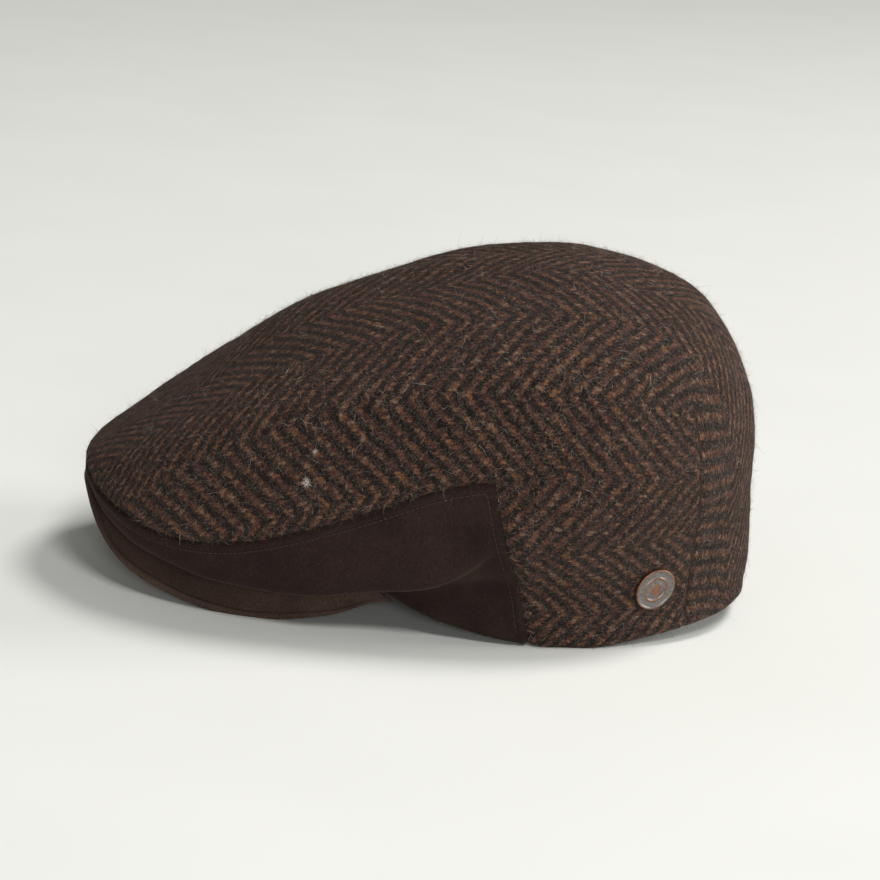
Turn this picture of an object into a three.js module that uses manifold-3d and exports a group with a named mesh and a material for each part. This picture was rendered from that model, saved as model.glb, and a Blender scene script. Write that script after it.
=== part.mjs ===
// Flat cap (ivy cap): a herringbone crown that overhangs a stiff crescent brim, a band of
// darker cloth that tapers from both sides to the front, and a round metal badge at the
// rear left. Millimetres, +Z up, the front faces -Y and the wearer's left is +X.
import * as THREE from "three";
import Module from "manifold-3d";

// Driving dimensions
const CROWN_HALF_WIDTH = 98;
const CROWN_FRONT = 166;
const CROWN_REAR = 108;
const CROWN_HEIGHT = 140;
const CROWN_TOP_SHIFT = 15.5;
const HEM_HALF_WIDTH = 80;
const HEM_FRONT = 97;
const HEM_REAR = 106;
const HEM_FRONT_LIFT = 26;
const WALL = 2.5;
const SEAM_GAP = 0.3;
const BAND_REAR_ANGLE = 98;
const BAND_REAR_LEAN = 2.3;
const BRIM_HALF_WIDTH = 71;
const BRIM_CORNER = 39;
const BRIM_FRONT = 169;
const BRIM_SQUARE = 0.14;
const BRIM_RISE = 40;
const BRIM_THICKNESS = 3.2;
const BRIM_TIP_THICKNESS = 1.6;
const BRIM_ROOT_ANGLE = 62;
const BRIM_ROOT_GAP = 1.2;
const BADGE_DIAMETER = 18;
const BADGE_THICKNESS = 1.7;
const BADGE_STANDOFF = 0.5;
const BADGE_ANGLE = 125.5;
const BADGE_SECTION = 1.0;
const POST_DIAMETER = 2.4;
const POST_CLEARANCE = 0.4;
const FLANGE_DIAMETER = 8;
const FLANGE_THICKNESS = 1;
const REST_TILT = 2.45;
const REST_PRESS = 0.5;

// How finely the surfaces are divided
const ROUND_STEPS = 64;
const RISE_STEPS = 28;
const BRIM_STEPS = 40;
const BRIM_ROWS = 6;
const BADGE_STEPS = 32;

// Angles from the front, in degrees, at which every section states its height
const STATIONS = [0, 30, 60, 90, 135, 180];

// Level sections of the crown from the inward tuck above the hem up to the top.
// half is a share of the width beside it, front and rear are shares of the crown's reaches,
// shift is a share of the top's shift, and heights are shares of the crown's height.
const SECTIONS = [
  {
    name: "tuck",
    width: HEM_HALF_WIDTH,
    half: 1.0535,
    front: 0.81,
    rear: 1.0,
    squareFront: 0.1,
    squareRear: 0.02,
    shift: -0.065,
    heights: [0.275, 0.19, 0.145, 0.145, 0.145, 0.145],
  },
  {
    name: "fold",
    width: CROWN_HALF_WIDTH,
    half: 0.955,
    front: 0.995,
    rear: 0.995,
    squareFront: 0.13,
    squareRear: 0.04,
    shift: -0.065,
    heights: [0.325, 0.215, 0.14, 0.235, 0.33, 0.29],
  },
  {
    name: "low",
    width: CROWN_HALF_WIDTH,
    half: 1.0,
    front: 0.99,
    rear: 1.01,
    squareFront: 0.13,
    squareRear: 0.06,
    shift: -0.065,
    heights: [0.39, 0.358, 0.36, 0.41, 0.44, 0.445],
  },
  {
    name: "middle",
    width: CROWN_HALF_WIDTH,
    half: 0.98,
    front: 0.935,
    rear: 0.985,
    squareFront: 0.11,
    squareRear: 0.08,
    shift: -0.065,
    heights: [0.443, 0.48, 0.604, 0.655, 0.655, 0.63],
  },
  {
    name: "shoulder",
    width: CROWN_HALF_WIDTH,
    half: 0.875,
    front: 0.752,
    rear: 0.808,
    squareFront: 0.08,
    squareRear: 0.05,
    shift: 0.19,
    heights: [0.605, 0.65, 0.76, 0.82, 0.857, 0.84],
  },
  {
    name: "upper",
    width: CROWN_HALF_WIDTH,
    half: 0.54,
    front: 0.483,
    rear: 0.529,
    squareFront: 0.03,
    squareRear: 0,
    shift: 0.58,
    heights: [0.86, 0.857, 0.908, 0.955, 0.957, 0.948],
  },
];

// Height of the hem's lower edge round the head opening, as shares of its lift in front
const HEM_LIFT = [
  { angle: 0, lift: 1.0 },
  { angle: 45, lift: 0.97 },
  { angle: 60, lift: 0.78 },
  { angle: 72, lift: 0.42 },
  { angle: 82, lift: 0.16 },
  { angle: 95, lift: -0.05 },
  { angle: 108, lift: -0.17 },
  { angle: 120, lift: -0.11 },
  { angle: 135, lift: 0.0 },
  { angle: 150, lift: 0.05 },
  { angle: 180, lift: 0.04 },
];

// Where the band's upper seam crosses the surface: section number at each angle
const BAND_SEAM = [
  { angle: 0, section: 2.45 },
  { angle: 15, section: 2.5 },
  { angle: 30, section: 2.52 },
  { angle: 45, section: 2.54 },
  { angle: 60, section: 2.74 },
  { angle: 75, section: 3.08 },
  { angle: 90, section: 3.33 },
];

// Lower outer edge of the brim from the middle of the front to its corner, as shares of the rise
const BRIM_EDGE = [
  { angle: 0, height: 1.0 },
  { angle: 12, height: 0.95 },
  { angle: 23, height: 0.68 },
  { angle: 36, height: 0.38 },
  { angle: 52, height: 0.15 },
  { angle: 68, height: 0.025 },
  { angle: 75, height: 0.06 },
  { angle: 82, height: 0.145 },
  { angle: 90, height: 0.28 },
];

// Turned face of the badge from its rim to its middle: shares of the radius and the thickness
const BADGE_FACE = [
  { radius: 1.0, height: 0.55 },
  { radius: 0.97, height: 0.88 },
  { radius: 0.9, height: 0.88 },
  { radius: 0.86, height: 0.62 },
  { radius: 0.62, height: 0.66 },
  { radius: 0.58, height: 0.86 },
  { radius: 0.5, height: 0.86 },
  { radius: 0.46, height: 0.72 },
  { radius: 0.25, height: 0.94 },
];

// Colours seen in the cloth and the metal
const TWEED = { color: "#40342e", roughness: 0.95, metalness: 0 };
const MOLESKIN = { color: "#30251f", roughness: 0.9, metalness: 0 };
const METAL = { color: "#6b4f40", roughness: 0.45, metalness: 0.85 };

const wasm = await Module();
wasm.setup();

// Curves
const radians = (degrees) => (degrees * Math.PI) / 180;
const mix = (a, b, share) => a + (b - a) * share;
const clamp = (value, low, high) => Math.min(high, Math.max(low, value));
const smooth = (share) => share * share * (3 - 2 * share);

// A smooth curve through points; its ends are level or straight
function curve(xs, ys, levelEnds) {
  const n = xs.length;
  const span = (i) => xs[i + 1] - xs[i];
  const rise = (i) => (i < 0 || i > n - 2 ? 0 : (ys[i + 1] - ys[i]) / span(i));
  const above = new Array(n).fill(0);
  const right = new Array(n).fill(0);
  const bend = new Array(n).fill(0);
  for (let i = 0; i < n; i++) {
    const end = i === 0 || i === n - 1;
    if (end && !levelEnds) continue;
    const left = i > 0 ? span(i - 1) : 0;
    const next = i < n - 1 ? span(i) : 0;
    const middle = 2 * (left + next) - (i > 0 ? left * above[i - 1] : 0);
    above[i] = next / middle;
    right[i] = (6 * (rise(i) - rise(i - 1)) - (i > 0 ? left * right[i - 1] : 0)) / middle;
  }
  for (let i = n - 1; i >= 0; i--) bend[i] = right[i] - above[i] * (i < n - 1 ? bend[i + 1] : 0);
  return (x) => {
    const found = xs.findIndex((value) => value > x);
    const i = clamp(found < 0 ? n - 2 : found - 1, 0, n - 2);
    const h = span(i);
    if (x < xs[0]) return ys[0] + (x - xs[0]) * (rise(0) - (h * (2 * bend[0] + bend[1])) / 6);
    const b = (Math.min(x, xs[n - 1]) - xs[i]) / h;
    const a = 1 - b;
    const swell = ((a ** 3 - a) * bend[i] + (b ** 3 - b) * bend[i + 1]) * ((h * h) / 6);
    return a * ys[i] + b * ys[i + 1] + swell;
  };
}

const column = (rows, x, y) => curve(rows.map((row) => row[x]), rows.map((row) => row[y]), true);

// The cap's outer surface: angle round from the front, section number up from the hem
const hemLift = column(HEM_LIFT, "angle", "lift");

const HEM = {
  half: HEM_HALF_WIDTH,
  front: HEM_FRONT,
  rear: HEM_REAR,
  squareFront: 0.08,
  squareRear: 0.08,
  shift: 0,
  height: (degrees) => HEM_FRONT_LIFT * hemLift(degrees),
};

const RINGS = [
  HEM,
  ...SECTIONS.map((row) => {
    const height = curve(STATIONS, row.heights, true);
    return {
      ...row,
      half: row.half * row.width,
      front: row.front * CROWN_FRONT,
      rear: row.rear * CROWN_REAR,
      shift: row.shift * CROWN_TOP_SHIFT,
      height: (degrees) => height(degrees) * CROWN_HEIGHT,
    };
  }),
];
const TOP = RINGS.length;

function folded(angle) {
  const turn = THREE.MathUtils.euclideanModulo(THREE.MathUtils.radToDeg(angle), 360);
  return turn > 180 ? 360 - turn : turn;
}

function ringPoint(ring, angle) {
  const s = Math.sin(angle);
  const c = Math.cos(angle);
  const towardsFront = smooth((c + 1) / 2);
  const square = mix(ring.squareRear, ring.squareFront, towardsFront);
  const reach = mix(ring.rear, ring.front, towardsFront);
  return new THREE.Vector3(
    ring.half * (s + square * s * c * c),
    ring.shift - reach * c * (1 + square * s * s),
    ring.height(folded(angle)),
  );
}

const meridians = new Map();

function meridian(angle) {
  const key = angle.toFixed(7);
  if (!meridians.has(key)) {
    const across = angle + Math.PI;
    const points = [
      ...RINGS.map((ring) => ringPoint(ring, angle)),
      new THREE.Vector3(0, CROWN_TOP_SHIFT, CROWN_HEIGHT),
      ringPoint(RINGS[TOP - 1], across),
      ringPoint(RINGS[TOP - 2], across),
    ];
    const numbers = points.map((_, i) => i);
    const along = ["x", "y", "z"].map((axis) => curve(numbers, points.map((p) => p[axis]), false));
    meridians.set(key, (t) => new THREE.Vector3(...along.map((value) => value(t))));
  }
  return meridians.get(key);
}

const surface = (angle, t) => meridian(angle)(t);

function outward(angle, t) {
  const near = Math.min(t, TOP - 0.05);
  const step = 0.01;
  const round = surface(angle + step, near).sub(surface(angle - step, near));
  const rise = surface(angle, near + step).sub(surface(angle, near - step));
  return round.cross(rise).normalize();
}

// A point under the surface. Where the hem rests, the wall stays level so that its edge is flat.
function under(angle, t, depth) {
  const normal = outward(angle, t);
  const resting = 1 - smooth(clamp(hemLift(folded(angle)) * 2.5, 0, 1));
  normal.z *= 1 - resting * (1 - smooth(clamp(t / 0.6, 0, 1)));
  normal.normalize();
  return surface(angle, t).addScaledVector(normal, -depth);
}

// Solids from grids of points
const toManifold = (points, faces) =>
  new wasm.Manifold(
    new wasm.Mesh({
      numProp: 3,
      vertProperties: new Float32Array(points.flatMap((p) => [p.x, p.y, p.z])),
      triVerts: new Uint32Array(faces.flat()),
    }),
  );

// Two grids of equal size joined along every open edge. Rows run up, columns run round.
function slab(outer, inner, closed) {
  const rows = outer.length;
  const columns = outer[0].length;
  const points = [...outer.flat(), ...inner.flat()];
  const id = (layer, row, col) => (layer * rows + row) * columns + (col % columns);
  const faces = [];
  const quad = (a, b, c, d) => faces.push([a, b, c], [a, c, d]);
  const spans = closed ? columns : columns - 1;
  for (let j = 0; j < rows - 1; j++)
    for (let i = 0; i < spans; i++) {
      quad(id(0, j, i), id(0, j, i + 1), id(0, j + 1, i + 1), id(0, j + 1, i));
      quad(id(1, j, i), id(1, j + 1, i), id(1, j + 1, i + 1), id(1, j, i + 1));
    }
  for (let i = 0; i < spans; i++) {
    quad(id(0, 0, i), id(1, 0, i), id(1, 0, i + 1), id(0, 0, i + 1));
    const j = rows - 1;
    quad(id(0, j, i), id(0, j, i + 1), id(1, j, i + 1), id(1, j, i));
  }
  if (!closed)
    for (let j = 0; j < rows - 1; j++) {
      quad(id(0, j, 0), id(0, j + 1, 0), id(1, j + 1, 0), id(1, j, 0));
      const i = columns - 1;
      quad(id(0, j, i), id(1, j, i), id(1, j + 1, i), id(0, j + 1, i));
    }
  return toManifold(points, faces);
}

// The whole cap's wall, closed over the top by one middle point on either side
function capWall() {
  const rows = (pointAt) =>
    Array.from({ length: RISE_STEPS }, (_, j) =>
      Array.from({ length: ROUND_STEPS }, (_, i) =>
        pointAt((i / ROUND_STEPS) * 2 * Math.PI, (j / RISE_STEPS) * TOP),
      ),
    );
  const outer = rows(surface);
  const inner = rows((angle, t) => under(angle, t, WALL));
  const top = new THREE.Vector3(0, CROWN_TOP_SHIFT, CROWN_HEIGHT);
  const points = [...outer.flat(), top, ...inner.flat(), top.clone().setZ(CROWN_HEIGHT - WALL)];
  const half = RISE_STEPS * ROUND_STEPS + 1;
  const id = (layer, row, col) => layer * half + row * ROUND_STEPS + (col % ROUND_STEPS);
  const pole = (layer) => layer * half + half - 1;
  const faces = [];
  for (let i = 0; i < ROUND_STEPS; i++) {
    for (let j = 0; j < RISE_STEPS - 1; j++) {
      const o = [id(0, j, i), id(0, j, i + 1), id(0, j + 1, i + 1), id(0, j + 1, i)];
      const n = [id(1, j, i), id(1, j + 1, i), id(1, j + 1, i + 1), id(1, j, i + 1)];
      faces.push([o[0], o[1], o[2]], [o[0], o[2], o[3]]);
      faces.push([n[0], n[1], n[2]], [n[0], n[2], n[3]]);
    }
    const j = RISE_STEPS - 1;
    faces.push([id(0, j, i), id(0, j, i + 1), pole(0)]);
    faces.push([id(1, j, i + 1), id(1, j, i), pole(1)]);
    faces.push([id(0, 0, i), id(1, 0, i), id(1, 0, i + 1)]);
    faces.push([id(0, 0, i), id(1, 0, i + 1), id(0, 0, i + 1)]);
  }
  return toManifold(points, faces);
}

// The region of the wall that belongs to the band, grown past its seams by a margin
function bandRegion(margin) {
  const seam = column(BAND_SEAM, "angle", "section");
  const sides = 48;
  const rises = 10;
  const reach = 2 * WALL;
  // The rear end leans forward as it rises, so the seam's angle and section are found together
  const seamTop = (share) => {
    let top = seam(share * BAND_REAR_ANGLE);
    for (let round = 0; round < 6; round += 1) {
      top = seam(share * (BAND_REAR_ANGLE - BAND_REAR_LEAN * top));
    }
    return top;
  };
  const cell = (depth) =>
    Array.from({ length: rises + 1 }, (_, j) =>
      Array.from({ length: sides + 1 }, (_, i) => {
        const across = (i / sides) * 2 - 1;
        const up = j / rises;
        const t = mix(-0.8, seamTop(Math.abs(across)), up);
        const end = BAND_REAR_ANGLE - BAND_REAR_LEAN * Math.max(t, 0);
        const angle = radians(across * end);
        const perSection = surface(angle, t + 0.05).distanceTo(surface(angle, t - 0.05)) * 10;
        const perRadian = surface(angle + 0.05, t).distanceTo(surface(angle - 0.05, t)) * 10;
        const grownT = t + (up === 1 ? margin / perSection : 0);
        const grownAngle = angle + (Math.abs(across) === 1 ? (across * margin) / perRadian : 0);
        return surface(grownAngle, grownT).addScaledVector(outward(grownAngle, grownT), depth);
      }),
    );
  return slab(cell(reach), cell(-reach), false);
}

// Crescent brim: from under the hem's front out to its own lower edge
function brimSolid() {
  const edge = column(BRIM_EDGE, "angle", "height");
  const rowsOf = (side) =>
    Array.from({ length: BRIM_ROWS + 1 }, (_, j) =>
      Array.from({ length: BRIM_STEPS + 1 }, (_, i) => {
        const across = (i / BRIM_STEPS) * 2 - 1;
        const out = 1 - j / BRIM_ROWS;
        const turn = radians(across * 90);
        const root = surface(radians(across * BRIM_ROOT_ANGLE), 0);
        root.multiplyScalar(1 - WALL / Math.hypot(root.x, root.y));
        root.z = HEM_FRONT_LIFT * hemLift(Math.abs(across) * BRIM_ROOT_ANGLE) - BRIM_ROOT_GAP;
        const taper = smooth(1 - Math.abs(across) ** 4);
        const thick = mix(BRIM_TIP_THICKNESS, BRIM_THICKNESS, taper);
        const s = Math.sin(turn);
        const c = Math.cos(turn);
        const rim = new THREE.Vector3(
          BRIM_HALF_WIDTH * s * (1 + BRIM_SQUARE * c * c),
          -BRIM_CORNER - (BRIM_FRONT - BRIM_CORNER) * c * (1 + BRIM_SQUARE * s * s),
          BRIM_RISE * edge(Math.abs(across) * 90) + thick,
        );
        const point = root.lerp(rim, out);
        if (side < 0) point.z -= thick;
        return point;
      }),
    );
  return slab(rowsOf(1), rowsOf(-1), false);
}

// Badge, turned about its own axis with its back towards the wall
function badgeFrame() {
  const angle = radians(BADGE_ANGLE);
  const normal = outward(angle, BADGE_SECTION);
  const turn = new THREE.Quaternion().setFromUnitVectors(new THREE.Vector3(0, 1, 0), normal);
  const place = surface(angle, BADGE_SECTION);
  return new THREE.Matrix4().compose(place, turn, new THREE.Vector3(1, 1, 1));
}

function badgeGeometry() {
  const radius = BADGE_DIAMETER / 2;
  const back = -WALL - POST_CLEARANCE;
  const profile = [
    [0, back - FLANGE_THICKNESS],
    [FLANGE_DIAMETER / 2, back - FLANGE_THICKNESS],
    [FLANGE_DIAMETER / 2, back],
    [POST_DIAMETER / 2, back],
    [POST_DIAMETER / 2, BADGE_STANDOFF],
    [radius, BADGE_STANDOFF],
    ...BADGE_FACE.map((row) => [
      row.radius * radius,
      BADGE_STANDOFF + row.height * BADGE_THICKNESS,
    ]),
    [0, BADGE_STANDOFF + BADGE_THICKNESS],
  ].map(([r, y]) => new THREE.Vector2(r, y));
  return new THREE.LatheGeometry(profile, BADGE_STEPS).applyMatrix4(badgeFrame());
}

function postHole() {
  const radius = POST_DIAMETER / 2 + POST_CLEARANCE;
  const drill = new THREE.CylinderGeometry(radius, radius, 4 * WALL, 20);
  drill.translate(0, -WALL / 2, 0).applyMatrix4(badgeFrame());
  return fromGeometry(drill);
}

function fromGeometry(geometry) {
  const flat = geometry.index ? geometry.toNonIndexed() : geometry;
  const place = flat.getAttribute("position");
  const seen = new Map();
  const points = [];
  const faces = [];
  for (let i = 0; i < place.count; i += 3) {
    const face = [0, 1, 2].map((k) => {
      const p = new THREE.Vector3().fromBufferAttribute(place, i + k);
      const key = p.toArray().map((v) => v.toFixed(4)).join();
      if (!seen.has(key)) {
        seen.set(key, points.length);
        points.push(p);
      }
      return seen.get(key);
    });
    if (new Set(face).size === 3) faces.push(face);
  }
  return toManifold(points, faces);
}

// The largest body, without the crumbs that a cut can leave beside the hem
function mainBody(solid) {
  const bodies = solid.decompose();
  return bodies.reduce((best, body) => (body.volume() > best.volume() ? body : best));
}

function toGeometry(solid) {
  const mesh = solid.getMesh();
  const indexed = new THREE.BufferGeometry();
  indexed.setAttribute("position", new THREE.BufferAttribute(mesh.vertProperties, 3));
  indexed.setIndex(new THREE.BufferAttribute(mesh.triVerts, 1));
  const geometry = indexed.toNonIndexed();
  geometry.computeVertexNormals();
  return geometry;
}

// Assembly
const wall = capWall();
const crown = mainBody(wall.subtract(bandRegion(SEAM_GAP / 2)).subtract(postHole()));
const band = mainBody(wall.intersect(bandRegion(-SEAM_GAP / 2)));

// The cap is tipped until brim and hem both touch, and pressed flat where they do
const tip = new THREE.Matrix4().makeRotationX(radians(REST_TILT));
const tipped = {
  crown: toGeometry(crown).applyMatrix4(tip),
  side_band: toGeometry(band).applyMatrix4(tip),
  brim: toGeometry(brimSolid()).applyMatrix4(tip),
  badge: badgeGeometry().applyMatrix4(tip),
};

function bounds(geometries) {
  const box = new THREE.Box3();
  for (const geometry of geometries)
    box.union(new THREE.Box3().setFromBufferAttribute(geometry.getAttribute("position")));
  return box;
}

const floor = bounds([tipped.crown, tipped.side_band]).min.z + REST_PRESS;

function pressed(geometry) {
  const wide = 4 * CROWN_FRONT;
  const deep = CROWN_HEIGHT / 2;
  const below = new THREE.BoxGeometry(wide, wide, deep).translate(0, 0, floor - deep / 2);
  return toGeometry(fromGeometry(geometry).subtract(fromGeometry(below)));
}

const group = new THREE.Group();
group.name = "flat_cap";

function add(name, geometry, look) {
  const mesh = new THREE.Mesh(geometry, new THREE.MeshStandardMaterial(look));
  mesh.name = name;
  group.add(mesh);
}

add("crown", pressed(tipped.crown), TWEED);
add("side_band", pressed(tipped.side_band), MOLESKIN);
add("brim", pressed(tipped.brim), MOLESKIN);
add("badge", tipped.badge, METAL);

// The origin sits at the middle of the box in plan and on the surface it rests on
const middle = bounds(group.children.map((mesh) => mesh.geometry)).getCenter(new THREE.Vector3());
group.position.set(-middle.x, -middle.y, -floor);

export default group;
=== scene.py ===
import math

import bmesh
import bpy
import numpy as np
from mathutils import Matrix, Vector


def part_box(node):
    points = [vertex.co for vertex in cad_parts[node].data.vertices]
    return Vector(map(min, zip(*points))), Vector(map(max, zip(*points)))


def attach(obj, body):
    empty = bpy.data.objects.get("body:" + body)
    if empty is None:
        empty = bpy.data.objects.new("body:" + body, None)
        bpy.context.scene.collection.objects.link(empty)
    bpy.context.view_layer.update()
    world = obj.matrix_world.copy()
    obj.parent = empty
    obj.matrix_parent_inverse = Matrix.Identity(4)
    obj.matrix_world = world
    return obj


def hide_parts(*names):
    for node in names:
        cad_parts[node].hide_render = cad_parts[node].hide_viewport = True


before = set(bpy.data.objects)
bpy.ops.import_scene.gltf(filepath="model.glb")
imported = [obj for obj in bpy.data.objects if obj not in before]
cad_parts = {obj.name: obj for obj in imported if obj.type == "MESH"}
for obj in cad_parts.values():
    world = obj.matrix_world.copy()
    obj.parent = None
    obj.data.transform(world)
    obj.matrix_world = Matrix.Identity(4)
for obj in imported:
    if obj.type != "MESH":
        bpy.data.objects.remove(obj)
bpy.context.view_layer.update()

# Sizes of the cap in millimetres, as in the part's source
MM = 0.001
CROWN_HALF_WIDTH = 98.0
CROWN_FRONT = 166.0
CROWN_REAR = 108.0
CROWN_HEIGHT = 140.0
CROWN_TOP_SHIFT = 15.5
HEM_FRONT_LIFT = 26.0
WALL = 2.4
BAND_REAR_ANGLE = 98.0
BAND_REAR_LEAN = 2.3
BRIM_HALF_WIDTH = 71.0
BRIM_CORNER = 39.0
BRIM_FRONT = 169.0
BRIM_SQUARE = 0.14
BRIM_RISE = 40.0
BRIM_THICKNESS = 3.2
BRIM_TIP_THICKNESS = 1.6
BRIM_ROOT_ANGLE = 62.0
BRIM_ROOT_GAP = 1.2
BADGE_DIAMETER = 18.0
BADGE_THICKNESS = 1.7
BADGE_STANDOFF = 0.5
BADGE_ANGLE = 125.5
BADGE_SECTION = 1.0
REST_TILT = 2.45

# Angles from the front at which every section states its height
STATIONS = (0, 30, 60, 90, 135, 180)

# Level sections from the tuck above the hem up to the top: half width, reaches and heights in
# shares of the crown's sizes, the shift in millimetres. The values come from a least-squares
# fit to the outline in the photograph, rounded and in part changed.
SECTION_COLUMNS = ("half", "front", "rear", "square_front", "square_rear", "shift", "heights")
SECTIONS = {
    "tuck": (0.86, 0.81, 1.0, 0.1, 0.02, -1, (0.275, 0.19, 0.145, 0.145, 0.145, 0.145)),
    "fold": (0.955, 0.995, 0.995, 0.13, 0.04, -1, (0.325, 0.215, 0.14, 0.235, 0.33, 0.29)),
    "low": (1.0, 0.99, 1.01, 0.13, 0.06, -1, (0.39, 0.358, 0.36, 0.41, 0.44, 0.445)),
    "middle": (0.98, 0.935, 0.985, 0.11, 0.08, -1, (0.443, 0.48, 0.604, 0.655, 0.655, 0.63)),
    "shoulder": (0.875, 0.752, 0.808, 0.08, 0.05, 3, (0.605, 0.65, 0.76, 0.82, 0.857, 0.84)),
    "upper": (0.54, 0.483, 0.529, 0.03, 0.0, 9, (0.86, 0.857, 0.908, 0.955, 0.957, 0.948)),
}
HEM_SECTION = {
    "half": 80.0, "front": 97.0, "rear": 106.0,
    "square_front": 0.08, "square_rear": 0.08, "shift": 0.0,
}

# Height of the hem round the opening: (angle from the front, share of its lift in front)
HEM_LIFT = (
    (0, 1.0), (45, 0.97), (60, 0.78), (72, 0.42), (82, 0.16), (95, -0.05),
    (108, -0.17), (120, -0.11), (135, 0.0), (150, 0.05), (180, 0.04),
)

# Upper seam of the side band: (angle from the front, section number)
BAND_SEAM = ((0, 2.45), (15, 2.5), (30, 2.52), (45, 2.54), (60, 2.74), (75, 3.08), (90, 3.33))

# Lower edge of the brim: (angle from the front, share of its rise)
BRIM_EDGE = (
    (0, 1.0), (12, 0.95), (23, 0.68), (36, 0.38), (52, 0.15),
    (68, 0.025), (75, 0.06), (82, 0.145), (90, 0.28),
)

# Turned face of the badge, rim to middle: (share of the radius, share of the thickness)
BADGE_FACE = (
    (1.0, 0.0), (1.0, 0.7), (0.985, 0.86), (0.95, 0.93), (0.91, 0.9), (0.88, 0.66),
    (0.84, 0.55), (0.66, 0.6), (0.62, 0.68), (0.6, 0.86), (0.565, 0.92), (0.53, 0.86),
    (0.51, 0.66), (0.46, 0.6), (0.4, 0.66), (0.34, 0.86), (0.25, 0.97), (0.12, 1.0), (0.0, 1.0),
)

# The cloth's weave: columns of slanting stripes that turn at each column's edge
COLUMN_WIDTH = 30.0
COLUMN_START = 6.0

# Camera, fitted to the cap's outline in the photograph
CAMERA_TARGET = Vector((0.0, 8.1, 61.1)) * MM
CAMERA_AZIMUTH = 88.85
CAMERA_ELEVATION = 14.93
CAMERA_DISTANCE = 1288.9 * MM
CAMERA_ROLL = 4.6
CAMERA_LENS = 126.8


# Camera
def make_camera():
    azimuth, elevation = math.radians(CAMERA_AZIMUTH), math.radians(CAMERA_ELEVATION)
    towards = Vector((
        math.sin(azimuth) * math.cos(elevation),
        -math.cos(azimuth) * math.cos(elevation),
        math.sin(elevation),
    ))
    data = bpy.data.cameras.new("camera")
    data.sensor_width = 36
    data.lens = CAMERA_LENS
    camera = bpy.data.objects.new("camera", data)
    bpy.context.scene.collection.objects.link(camera)
    look = (-towards).to_track_quat("-Z", "Y").to_matrix().to_4x4()
    roll = Matrix.Rotation(math.radians(CAMERA_ROLL), 4, "Z")
    camera.matrix_world = Matrix.Translation(CAMERA_TARGET + CAMERA_DISTANCE * towards) @ look @ roll
    bpy.context.scene.camera = camera


# Curves and small helpers
def mix(a, b, share):
    return a + (b - a) * share


def smooth(share):
    share = np.clip(share, 0, 1)
    return share * share * (3 - 2 * share)


def bell(distance, width):
    return np.exp(-((distance / width) ** 2))


def unit(vectors):
    return vectors / np.maximum(np.linalg.norm(vectors, axis=-1, keepdims=True), 1e-9)


def bending(xs, level_ends):
    """Matrix that turns a smooth curve's values into its second derivatives."""
    n = len(xs)
    span = np.diff(xs)
    left, right = np.zeros((n, n)), np.zeros((n, n))
    for i in range(n):
        if i in (0, n - 1) and not level_ends:
            left[i, i] = 1
            continue
        for k in (i - 1, i):
            if 0 <= k < n - 1:
                left[i, i] += 2 * span[k]
                left[i, k + 1 if k == i else k] += span[k]
                side = 1 if k == i else -1
                right[i, k + 1] += side * 6 / span[k]
                right[i, k] -= side * 6 / span[k]
    return np.linalg.solve(left, right)


class Curve:
    """A smooth curve through points, level at its ends."""

    def __init__(self, points):
        self.xs = np.array([p[0] for p in points], float)
        self.ys = np.array([p[1] for p in points], float)
        self.bend = bending(self.xs, True) @ self.ys

    def __call__(self, x):
        x = np.clip(x, self.xs[0], self.xs[-1])
        i = np.clip(np.searchsorted(self.xs, x, "right") - 1, 0, len(self.xs) - 2)
        h = self.xs[i + 1] - self.xs[i]
        b = (x - self.xs[i]) / h
        a = 1 - b
        swell = ((a**3 - a) * self.bend[i] + (b**3 - b) * self.bend[i + 1]) * h * h / 6
        return a * self.ys[i] + b * self.ys[i + 1] + swell


# The cap's outer surface, by angle round from the front and section number up from the hem
hem_lift = Curve(HEM_LIFT)
band_seam = Curve(BAND_SEAM)
brim_edge = Curve(BRIM_EDGE)


def rings():
    hem = dict(HEM_SECTION, height=lambda turn: HEM_FRONT_LIFT * hem_lift(turn))
    found = [hem]
    for row in SECTIONS.values():
        ring = dict(zip(SECTION_COLUMNS, row))
        heights = Curve([(s, h * CROWN_HEIGHT) for s, h in zip(STATIONS, ring["heights"])])
        ring["half"] *= CROWN_HALF_WIDTH
        ring["front"] *= CROWN_FRONT
        ring["rear"] *= CROWN_REAR
        ring["height"] = heights
        found.append(ring)
    return found


RINGS = rings()
TOP = len(RINGS)
ALONG = bending(np.arange(TOP + 3), False)


def ring_points(ring, angle):
    s, c = np.sin(angle), np.cos(angle)
    forward = smooth((c + 1) / 2)
    square = mix(ring["square_rear"], ring["square_front"], forward)
    reach = mix(ring["rear"], ring["front"], forward)
    turn = np.degrees(np.abs((angle + math.pi) % (2 * math.pi) - math.pi))
    x = ring["half"] * (s + square * s * c * c)
    y = ring["shift"] - reach * c * (1 + square * s * s)
    return np.stack([x, y, ring["height"](turn)], -1)


def surface(angle, section):
    angle, section = np.broadcast_arrays(np.asarray(angle, float), np.asarray(section, float))
    flat, t = angle.ravel(), section.ravel()
    knots = [ring_points(ring, flat) for ring in RINGS]
    knots.append(np.tile([0.0, CROWN_TOP_SHIFT, CROWN_HEIGHT], (len(flat), 1)))
    knots.append(ring_points(RINGS[-1], flat + math.pi))
    knots.append(ring_points(RINGS[-2], flat + math.pi))
    knots = np.stack(knots)
    bend = np.tensordot(ALONG, knots, axes=1)
    i = np.clip(np.floor(t).astype(int), 0, TOP + 1)
    n = np.arange(len(flat))
    b = (t - i)[:, None]
    a = 1 - b
    swell = ((a**3 - a) * bend[i, n] + (b**3 - b) * bend[i + 1, n]) / 6
    points = a * knots[i, n] + b * knots[i + 1, n] + swell
    return points.reshape(angle.shape + (3,))


def outward(angle, section):
    near = np.minimum(section, TOP - 0.05)
    step = 0.01
    around = surface(angle + step, near) - surface(angle - step, near)
    rise = surface(angle, near + step) - surface(angle, near - step)
    return unit(np.cross(around, rise))


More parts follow.
